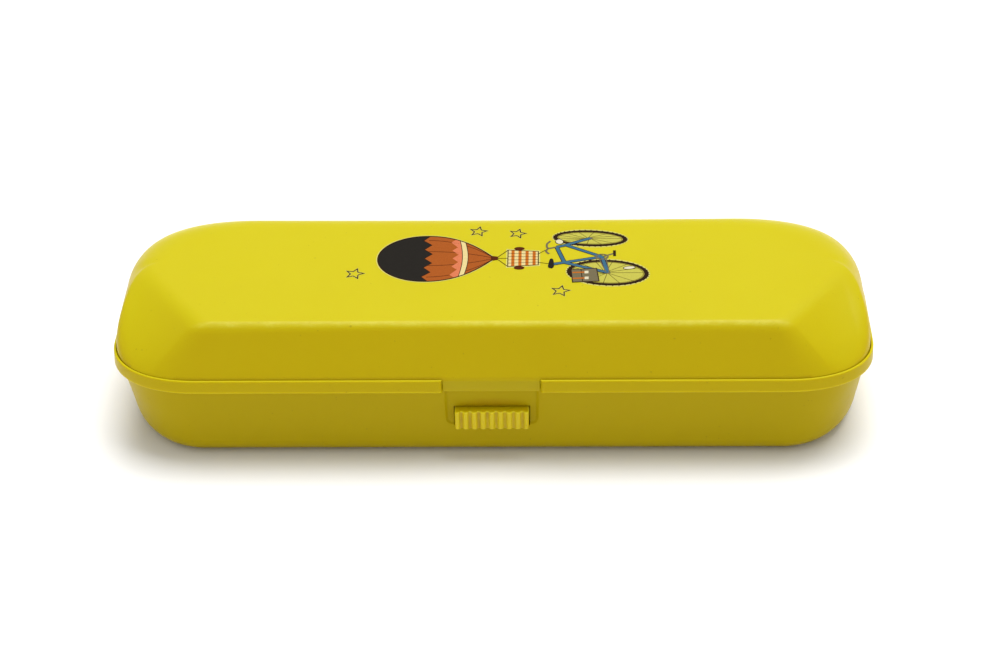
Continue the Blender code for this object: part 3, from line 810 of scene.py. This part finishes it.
def button_ring(z, back):
    """The head's outline at height z, its front and sides set back. The back runs into the plate."""
    front = button_front()
    squeeze = (BUTTON_HALF_WIDTH - back) / BUTTON_HALF_WIDTH
    y = BUTTON_FRONT + 0.02 * MM + back + front[:, 1]
    sides = np.clip((np.abs(front[:, 0]) - BUTTON_HALF_WIDTH + 0.5 * MM) / (0.5 * MM), 0, 1)
    y += 0.25 * MM * sides**2
    x = front[:, 0] * squeeze
    root = PLATE_FRONT + 0.4 * MM
    points = [(px, py, z) for px, py in zip(x, y)]
    points += [(x[-1], root, z), (x[0], root, z)]
    return points


def spring_peg(bm, start, end):
    """The peg that centres one end of the spring."""
    prism_mesh(bm, circle((0, SPRING_Z), PEG_RADIUS), "Y", start, end, 0.2 * MM)


def make_button():
    edge = 0.4 * MM
    rings = []
    for a in np.radians(np.linspace(-90, 0, 6)):
        rings.append(button_ring(BUTTON_LOW + edge * (1 + math.sin(a)), edge * (1 - math.cos(a))))
    for a in np.radians(np.linspace(0, 90, 8)):
        rings.append(button_ring(BUTTON_TOP - edge * (1 - math.sin(a)), edge * (1 - math.cos(a))))
    head = loft("latch_head", rings, 50)
    add = bmesh.new()
    box_mesh(
        add, (-PLATE_HALF_WIDTH, PLATE_FRONT, PLATE_LOW), (PLATE_HALF_WIDTH, PLATE_BACK, PLATE_TOP), 0.3 * MM
    )
    sunk = 0.1 * MM
    arm = [
        (PLATE_FRONT + sunk, PLATE_TOP - MM),
        (PLATE_FRONT + sunk, NOSE_LOW),
        (NOSE_TIP, NOSE_LOW),
        (NOSE_TIP, NOSE_TIP_TOP),
        (NOSE_RAMP_END, NOSE_TOP),
        (PLATE_BACK - sunk, NOSE_TOP),
        (PLATE_BACK - sunk, PLATE_TOP - MM),
    ]
    prism_mesh(add, arm, "X", -NOSE_HALF_WIDTH, NOSE_HALF_WIDTH, 0.12 * MM)
    spring_peg(add, PLATE_BACK - MM, PLATE_BACK + PEG_LENGTH)
    carve(head, "UNION", add)
    settle(head, 50)
    return head


def make_cover():
    """Keeper behind the button: back plate, two side plates and a short roof, with a peg for the spring."""
    sunk = 0.1 * MM
    cover = prism(
        "latch_keeper",
        rectangle((-COVER_HALF_WIDTH, COVER_FRONT), (COVER_HALF_WIDTH, COVER_BACK)),
        "Z",
        COVER_LOW,
        COVER_TOP,
        0.3 * MM,
    )
    side = [
        (PLATE_FRONT, COVER_HEEL_Z),
        (COVER_HEEL_Y, COVER_LOW + sunk),
        (COVER_BACK - sunk, COVER_LOW + sunk),
        (COVER_BACK - sunk, COVER_TOP - sunk),
        (PLATE_FRONT, COVER_TOP - sunk),
    ]
    add = bmesh.new()
    outer = COVER_HALF_WIDTH - sunk
    prism_mesh(add, side, "X", -outer, COVER_SIDE - outer, 0.25 * MM)
    prism_mesh(add, side, "X", outer - COVER_SIDE, outer, 0.25 * MM)
    carve(cover, "UNION", add)
    add = bmesh.new()
    roof = COVER_HALF_WIDTH - COVER_SIDE / 2
    roof_low = (-roof, COVER_ROOF_FRONT, COVER_TOP - COVER_ROOF)
    box_mesh(add, roof_low, (roof, COVER_BACK - 2 * sunk, COVER_TOP - 2 * sunk), 0.2 * MM)
    spring_peg(add, COVER_FRONT - PEG_LENGTH, COVER_BACK - GAP)
    carve(cover, "UNION", add)
    settle(cover)
    return cover


def make_spring():
    """Coil along Y, its turns closer together at both ends."""
    sides, per_turn = 10, 36
    wire = (spring_high.x - spring_low.x) / 2 - SPRING_RADIUS
    start, end = spring_low.y + wire, spring_high.y - wire
    count = round(SPRING_TURNS * per_turn)
    share = np.linspace(0, 1, count + 1)
    along = start + (end - start) * (share - 0.09 * np.sin(2 * math.pi * share))
    turn = 2 * math.pi * share * SPRING_TURNS
    centre = np.column_stack((SPRING_RADIUS * np.cos(turn), along, SPRING_Z + SPRING_RADIUS * np.sin(turn)))
    outward = np.column_stack((np.cos(turn), 0 * turn, np.sin(turn)))
    bm = bmesh.new()
    loops = []
    for c, out in zip(centre, outward):
        loop = []
        for a in np.linspace(0, 2 * math.pi, sides + 1)[:-1]:
            loop.append(bm.verts.new(c + wire * (out * math.cos(a) + np.array((0, 1, 0)) * math.sin(a))))
        loops.append(loop)
    for a, b in zip(loops, loops[1:]):
        for i in range(sides):
            j = (i + 1) % sides
            bm.faces.new((a[i], a[j], b[j], b[i]))
    bm.faces.new(loops[0])
    bm.faces.new(loops[-1])
    bmesh.ops.recalc_face_normals(bm, faces=bm.faces)
    spring = finish_mesh("spring_coil", bm, 50)
    piece(spring, "base", "steel", steel_look, "latch_spring")
    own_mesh(spring)


def make_pins():
    for name in ("hinge_pin_left", "hinge_pin_right"):
        low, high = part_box(name)
        radius = (high.y - low.y) / 2
        pin = prism(name + "_turned", circle((HINGE_Y, HINGE_Z), radius, 40), "X", low.x, high.x, 0.2 * MM)
        piece(pin, "base", "steel", steel_look, name)


# ---------------------------------------------------------------- print on the lid


INK_STEP = 0.009 * MM  # height of one layer of ink


class Print:
    """Ink shapes on the lid's flat top, one mesh for each ink. Points are X and Y in millimetres."""

    def __init__(self):
        self.inks = {}
        self.count = 0

    def fill(self, ink, points, layer):
        """A filled outline. Every one is a hair higher than the one before, so that no two faces coincide."""
        bm = self.inks.setdefault(ink, bmesh.new())
        self.count += 1
        top = TOP + INK_STEP * layer + 0.00002 * MM * self.count
        low = [bm.verts.new((x * MM, y * MM, TOP - 0.05 * MM)) for x, y in points]
        high = [bm.verts.new((x * MM, y * MM, top)) for x, y in points]
        made = [bm.faces.new(low), bm.faces.new(high)]
        for i in range(len(low)):
            j = (i + 1) % len(low)
            made.append(bm.faces.new((low[i], low[j], high[j], high[i])))
        bmesh.ops.recalc_face_normals(bm, faces=made)

    def line(self, ink, points, width, layer, closed=False):
        """A stroke of even width with mitred corners: one ribbon, or two if it is closed."""
        p = np.asarray(points, float)
        if closed:
            p = np.vstack((p, p[:1]))
        step = np.diff(p, axis=0)
        step /= np.linalg.norm(step, axis=1)[:, None]
        normal = np.column_stack((-step[:, 1], step[:, 0]))
        corner = np.vstack((normal[:1], normal[:-1] + normal[1:], normal[-1:]))
        if closed:
            corner[0] = corner[-1] = normal[0] + normal[-1]
        corner /= np.linalg.norm(corner, axis=1)[:, None]
        beside = np.vstack((normal[:1], normal))
        side = corner * (width / 2 / np.maximum((corner * beside).sum(axis=1), 0.35))[:, None]
        half = len(p) // 2
        for a, b in ((0, half), (half, len(p) - 1)) if closed else ((0, len(p) - 1),):
            left, right = (p + side)[a : b + 1], (p - side)[a : b + 1]
            self.fill(ink, np.vstack((left, right[::-1])), layer)

    def finish(self, looks):
        for ink, bm in self.inks.items():
            piece(finish_mesh("print_" + ink, bm, 20), "lid", "case_plastic", looks[ink])


def oval(centre, half, start=0, end=360, steps=56, turn=0.0):
    """Points of an oval, its second half size along Y. The last point is left out when it closes."""
    angles = np.radians(np.linspace(start, end, steps + 1))
    if end - start == 360:
        angles = angles[:-1]
    x, y = half[0] * np.cos(angles), half[1] * np.sin(angles)
    c, s = math.cos(math.radians(turn)), math.sin(math.radians(turn))
    return np.column_stack((centre[0] + c * x - s * y, centre[1] + s * x + c * y))


def bend(*points, steps=8):
    """A smooth curve through the points."""
    p = np.array(points, float)
    p = np.vstack((2 * p[0] - p[1], p, 2 * p[-1] - p[-2]))
    t = np.linspace(0, 1, steps + 1)[:-1, None]
    parts = []
    for a, b, c, d in zip(p, p[1:], p[2:], p[3:]):
        square, cube = 2 * a - 5 * b + 4 * c - d, 3 * b - a - 3 * c + d
        parts.append(0.5 * (2 * b + (c - a) * t + square * t**2 + cube * t**3))
    return np.vstack(parts + [p[-2:-1]])


# the balloon's envelope: crown at low X, mouth at high X
CROWN_X, MOUTH_X, BALLOON_Y, BALLOON_HALF, MOUTH_HALF = -32.7, -0.4, 5.6, 11.8, 1.0
WIDEST = 0.42  # where the envelope is widest, as a share of the way from the crown to the mouth


def balloon_half(x):
    """Half the envelope's width at x."""
    share = np.clip((x - CROWN_X) / (MOUTH_X - CROWN_X), 0, 1)
    crown = BALLOON_HALF * np.sqrt(np.clip(1 - (1 - share / WIDEST) ** 2, 0, 1))
    taper = np.clip((share - WIDEST) / (1 - WIDEST), 0, 1) ** 2.2
    return np.where(share < WIDEST, crown, BALLOON_HALF + (MOUTH_HALF - BALLOON_HALF) * taper)


def seam(place, start=0.0):
    """A seam of the balloon down to its mouth. Place is from -1, its near edge, to 1, its far edge."""
    x = CROWN_X + (MOUTH_X - CROWN_X) * (1 - np.cos(np.linspace(start, 1, 60) * math.pi)) / 2
    return np.column_stack((x, BALLOON_Y + place * balloon_half(x)))


def hoop(x, teeth=0.0):
    """A line across the balloon, bowed towards its mouth, straight or with five even teeth."""
    place = np.linspace(-1, 1, 41)
    x = x + 0.9 * (1 - place**2) + teeth * np.abs((place * 2.5 + 0.5) % 1 * 2 - 1)
    return np.column_stack((x, BALLOON_Y + place * balloon_half(x)))


def belt(first, last):
    """The part of the balloon between two lines across it."""
    near, far = seam(-1), seam(1)
    between = (far[:, 0] > first[-1, 0]) & (far[:, 0] < last[-1, 0])
    return np.vstack((first, far[between], last[::-1], near[between][::-1]))


def draw_balloon(art):
    edge = np.vstack((seam(-1), seam(1)[::-1][:-1]))
    middle = np.array((-16.6, BALLOON_Y))
    art.fill("halo", middle + (edge - middle) * (1.03, 1.04), 1)
    art.fill("terracotta", edge, 2)
    crown = hoop(-20.4, 2.2)
    art.fill("charcoal", belt(np.array(((CROWN_X, BALLOON_Y),)), crown), 3)
    art.line("outline", crown, 0.22, 4)
    for place in (-0.81, -0.31, 0.31, 0.81):
        art.line("brown", seam(place, 0.46), 0.22, 4)
    art.fill("rose", belt(hoop(-12.4, 1.7), hoop(-9.6)), 4)
    art.fill("cream", belt(hoop(-9.6), hoop(-8.0)), 5)
    for x in (-9.6, -8.0):
        art.line("outline", hoop(x), 0.2, 6)
    art.line("outline", edge, 0.36, 7, closed=True)
    art.fill("brown", [(-0.6, 4.3), (1.4, 4.8), (1.4, 6.4), (-0.6, 6.9)], 7)


def draw_basket(art):
    """A woven basket below the balloon's mouth, with a bicycle hung from it."""
    left, right, rim, foot = 4.2, 12.8, 4.3, 3.5
    corners = [(left, -rim), (right, -foot), (right, foot), (left, rim)]
    for start, y, end in ((1.4, -0.7, (left, -rim)), (1.4, 0.0, (left, 0)), (1.4, 0.7, (left, rim))):
        art.line("outline", ((start, BALLOON_Y + y), (end[0], BALLOON_Y + end[1])), 0.24, 3)
    for start, end in (((right, 3.4), (16.2, 2.6)), ((right, 7.8), (15.6, 10.6))):
        art.line("outline", (start, end), 0.24, 3)
    art.fill("halo", [(x + 0.5 * math.copysign(1, x - 8), BALLOON_Y + 1.15 * y) for x, y in corners], 1)
    art.fill("cream", [(x, BALLOON_Y + y) for x, y in corners], 4)
    for x in (5.6, 7.6, 9.6, 11.6):
        half = rim + (foot - rim) * (x - left) / (right - left)
        art.line("orange", ((x, BALLOON_Y - half), (x, BALLOON_Y + half)), 0.9, 5)
    for share in (-0.6, -0.2, 0.2, 0.6):
        art.line("outline", ((left, BALLOON_Y + rim * share), (right, BALLOON_Y + foot * share)), 0.16, 6)
    art.line("outline", [(x, BALLOON_Y + y) for x, y in corners], 0.26, 7, closed=True)
    for y in (-5.0, 5.0):
        art.fill("brown", oval((7.4, BALLOON_Y + y), (1.5, 0.9), steps=20), 6)


def draw_wheel(art, centre, half, turn):
    art.fill("halo", oval(centre, (half[0] + 0.35, half[1] + 0.45), turn=turn), 1)
    art.fill("tyre", oval(centre, half, turn=turn), 2)
    inner = (half[0] - 1.25, half[1] - 1.15)
    art.fill("glass", oval(centre, inner, turn=turn), 3)
    art.line("brown", oval(centre, (inner[0] - 0.25, inner[1] - 0.22), turn=turn), 0.16, 4, closed=True)
    hub = oval(centre, (0.7, 0.55), steps=8, turn=turn)
    for i, tip in enumerate(oval(centre, inner, 8, 368, 14, turn)[:-1]):
        art.line("outline", (hub[i % 8], tip), 0.15, 4)
    foot, tip = (oval(centre, (half[0] + out, half[1] + out), steps=40, turn=turn) for out in (-0.2, 0.22))
    for tread in zip(foot, tip):
        art.line("tyre", tread, 0.35, 3)
    art.fill("grey", oval(centre, (0.8, 0.65), steps=16, turn=turn), 5)


def draw_bicycle(art):
    """A bicycle with a diamond frame, upright towards low X, and a square bag beside its rear wheel."""
    rear, front, crank = (32.3, -2.0), (27.6, 16.0), (30.8, 6.2)
    seat, head, crown = (20.2, 3.2), (18.0, 11.4), (20.6, 12.4)
    draw_wheel(art, front, (10.6, 4.3), -4)
    draw_wheel(art, rear, (11.5, 6.6), -5)
    # pedals, chain and chainring
    for tip, foot in (((34.4, 8.0), 1.5), ((27.4, 4.6), 1.3)):
        art.line("grey", (crank, tip), 0.6, 5)
        art.line("tyre", ((tip[0], tip[1] - foot), (tip[0], tip[1] + foot)), 0.8, 6)
    for shift in (-1.1, 1.1):
        art.line("grey", ((rear[0] + shift * 0.4, rear[1]), (crank[0] + shift, crank[1])), 0.28, 7)
    art.line("grey", oval(crank, (1.7, 1.3), steps=24), 0.45, 8, closed=True)
    # frame: stays, seat tube, top tube, down tube, head tube and fork
    fork = bend(crown, (24.0, 14.2), front)
    seat_tube, down_tube = (crank, (16.8, 2.4)), (crank, crown)
    for tube in ((rear, crank), (rear, seat), seat_tube, (seat, head), down_tube, (head, crown), fork):
        art.line("outline", tube, 1.35, 5)
        art.line("blue", tube, 0.95, 6)
    # saddle, handlebar, lamp and rear reflector
    saddle = bend((16.6, 0.2), (15.6, 0.8), (15.7, 3.0), (16.2, 5.2), (17.0, 4.8), (17.2, 1.4), (16.6, 0.2))
    art.fill("charcoal", saddle[:-1], 7)
    art.line("grey", bend((18.0, 11.4), (15.6, 10.8), (15.2, 12.8), (16.2, 14.6)), 0.6, 7)
    art.line("grey", bend((15.6, 10.8), (15.0, 9.2), (15.8, 7.8)), 0.6, 7)
    for centre, half, turn in (((18.8, 14.2), (1.1, 1.3), 20), ((38.4, 0.4), (1.7, 0.75), 10)):
        art.fill("pale", oval(centre, half, steps=20, turn=turn), 7)
        art.line("outline", oval(centre, half, steps=20, turn=turn), 0.2, 8, closed=True)
    # bag with a flap and two buckles
    bag = [(22.4, -6.9), (22.0, -0.4), (29.2, 0.2), (29.8, -6.4)]
    art.fill("grey", bag, 7)
    art.line("outline", bag, 0.28, 8, closed=True)
    art.line("outline", ((25.2, -6.7), (24.8, -0.2)), 0.22, 8)
    for y in (-5.0, -2.0):
        art.line("orange", ((22.4, y), (26.2, y + 0.2)), 0.6, 9)
        art.fill("pale", [(25.8, y - 0.5), (25.8, y + 0.8), (26.9, y + 0.9), (26.9, y - 0.4)], 10)


# centre, size and turn in degrees
STARS = (((-38.8, -2.1), 2.6, 4), ((-4.5, 19.9), 2.5, 8), ((6.8, 18.7), 2.4, 3), ((19.0, -11.2), 2.6, 6))


def draw_star(art, centre, size, turn):
    """A five-pointed star in outline."""
    angles = np.radians(np.arange(0, 360, 36) + turn)
    reach = np.where(np.arange(10) % 2 == 0, size, size * 0.45)
    p = np.column_stack((centre[0] + reach * np.cos(angles), centre[1] + reach * np.sin(angles)))
    art.line("halo", p, 0.5, 1, closed=True)
    art.line("outline", p, 0.34, 2, closed=True)


def make_print():
    art = Print()
    draw_balloon(art)
    draw_basket(art)
    draw_bicycle(art)
    for star in STARS:
        draw_star(art, *star)
    art.finish(
        {
            "halo": ink("ink_halo", linear(226, 216, 120)),
            "charcoal": ink("ink_charcoal", linear(40, 37, 33)),
            "terracotta": ink("ink_terracotta", linear(176, 92, 36)),
            "brown": ink("ink_brown", linear(92, 42, 16)),
            "rose": ink("ink_rose", linear(226, 128, 88)),
            "outline": ink("ink_outline", linear(50, 28, 18)),
            "cream": ink("ink_cream", linear(236, 216, 150)),
            "orange": ink("ink_orange", linear(204, 112, 34)),
            "tyre": ink("ink_tyre", linear(50, 33, 20)),
            "glass": ink("ink_glass", linear(203, 197, 84)),
            "grey": ink("ink_grey", linear(122, 112, 84)),
            "pale": ink("ink_pale", linear(232, 224, 190)),
            "blue": ink("ink_blue", linear(66, 112, 140)),
        }
    )


# ---------------------------------------------------------------- stage, light and camera


def make_stage():
    bm = bmesh.new()
    bmesh.ops.create_grid(bm, x_segments=1, y_segments=1, size=6)
    floor = finish_mesh("floor", bm)
    n = Nodes("floor")
    n.set(n.shader, "Base Color", (0.93, 0.93, 0.93, 1))
    n.set(n.shader, "Roughness", 0.9)
    n.set(n.shader, "Specular IOR Level", 0.1)
    floor.data.materials.append(n.material)


def area_light(name, place, target, size, power):
    light = bpy.data.lights.new(name, "AREA")
    light.shape = "RECTANGLE"
    light.size, light.size_y = size
    light.energy = power
    o = bpy.data.objects.new(name, light)
    o.location = place
    o.rotation_euler = (Vector(target) - Vector(place)).to_track_quat("-Z", "Y").to_euler()
    scene.collection.objects.link(o)
    return o


def make_light():
    world = bpy.data.worlds.new("studio")
    world.use_nodes = True
    world.node_tree.nodes["Background"].inputs["Color"].default_value = (1, 1, 1, 1)
    world.node_tree.nodes["Background"].inputs["Strength"].default_value = 0.56
    scene.world = world
    area_light("key", (0.35, 0.85, 3.0), (0, 0, 0), (2.6, 2.2), 112)


def make_camera():
    data = bpy.data.cameras.new("camera")
    data.sensor_width = 36
    data.lens = 90
    data.clip_start, data.clip_end = 0.01, 20
    o = bpy.data.objects.new("camera", data)
    pitch, roll, yaw = map(math.radians, (34.44, -1.12, -1.63))
    distance = 0.7157
    target = Vector((1.69, 0, 18.11)) * MM
    forward = Vector((math.sin(yaw) * math.cos(pitch), math.cos(yaw) * math.cos(pitch), -math.sin(pitch)))
    level = Vector((math.cos(yaw), -math.sin(yaw), 0))
    up = level.cross(forward)
    right = level * math.cos(roll) + up * math.sin(roll)
    above = -level * math.sin(roll) + up * math.cos(roll)
    turn = Matrix((right, above, -forward)).transposed()
    o.matrix_world = Matrix.Translation(target - forward * distance) @ turn.to_4x4()
    scene.collection.objects.link(o)
    scene.camera = o


piece(make_tray(), "base", "case_plastic", tray_look, "base_tray")
piece(make_lid(), "lid", "case_plastic", lid_look, "lid")
piece(make_button(), "latch", "button_plastic", button_look, "latch_button")
piece(make_cover(), "base", "case_plastic", cover_look, "latch_cover")
make_spring()
make_pins()
make_print()

scene.view_settings.view_transform = "Standard"
scene.view_settings.look = "None"
make_stage()
make_light()
make_camera()
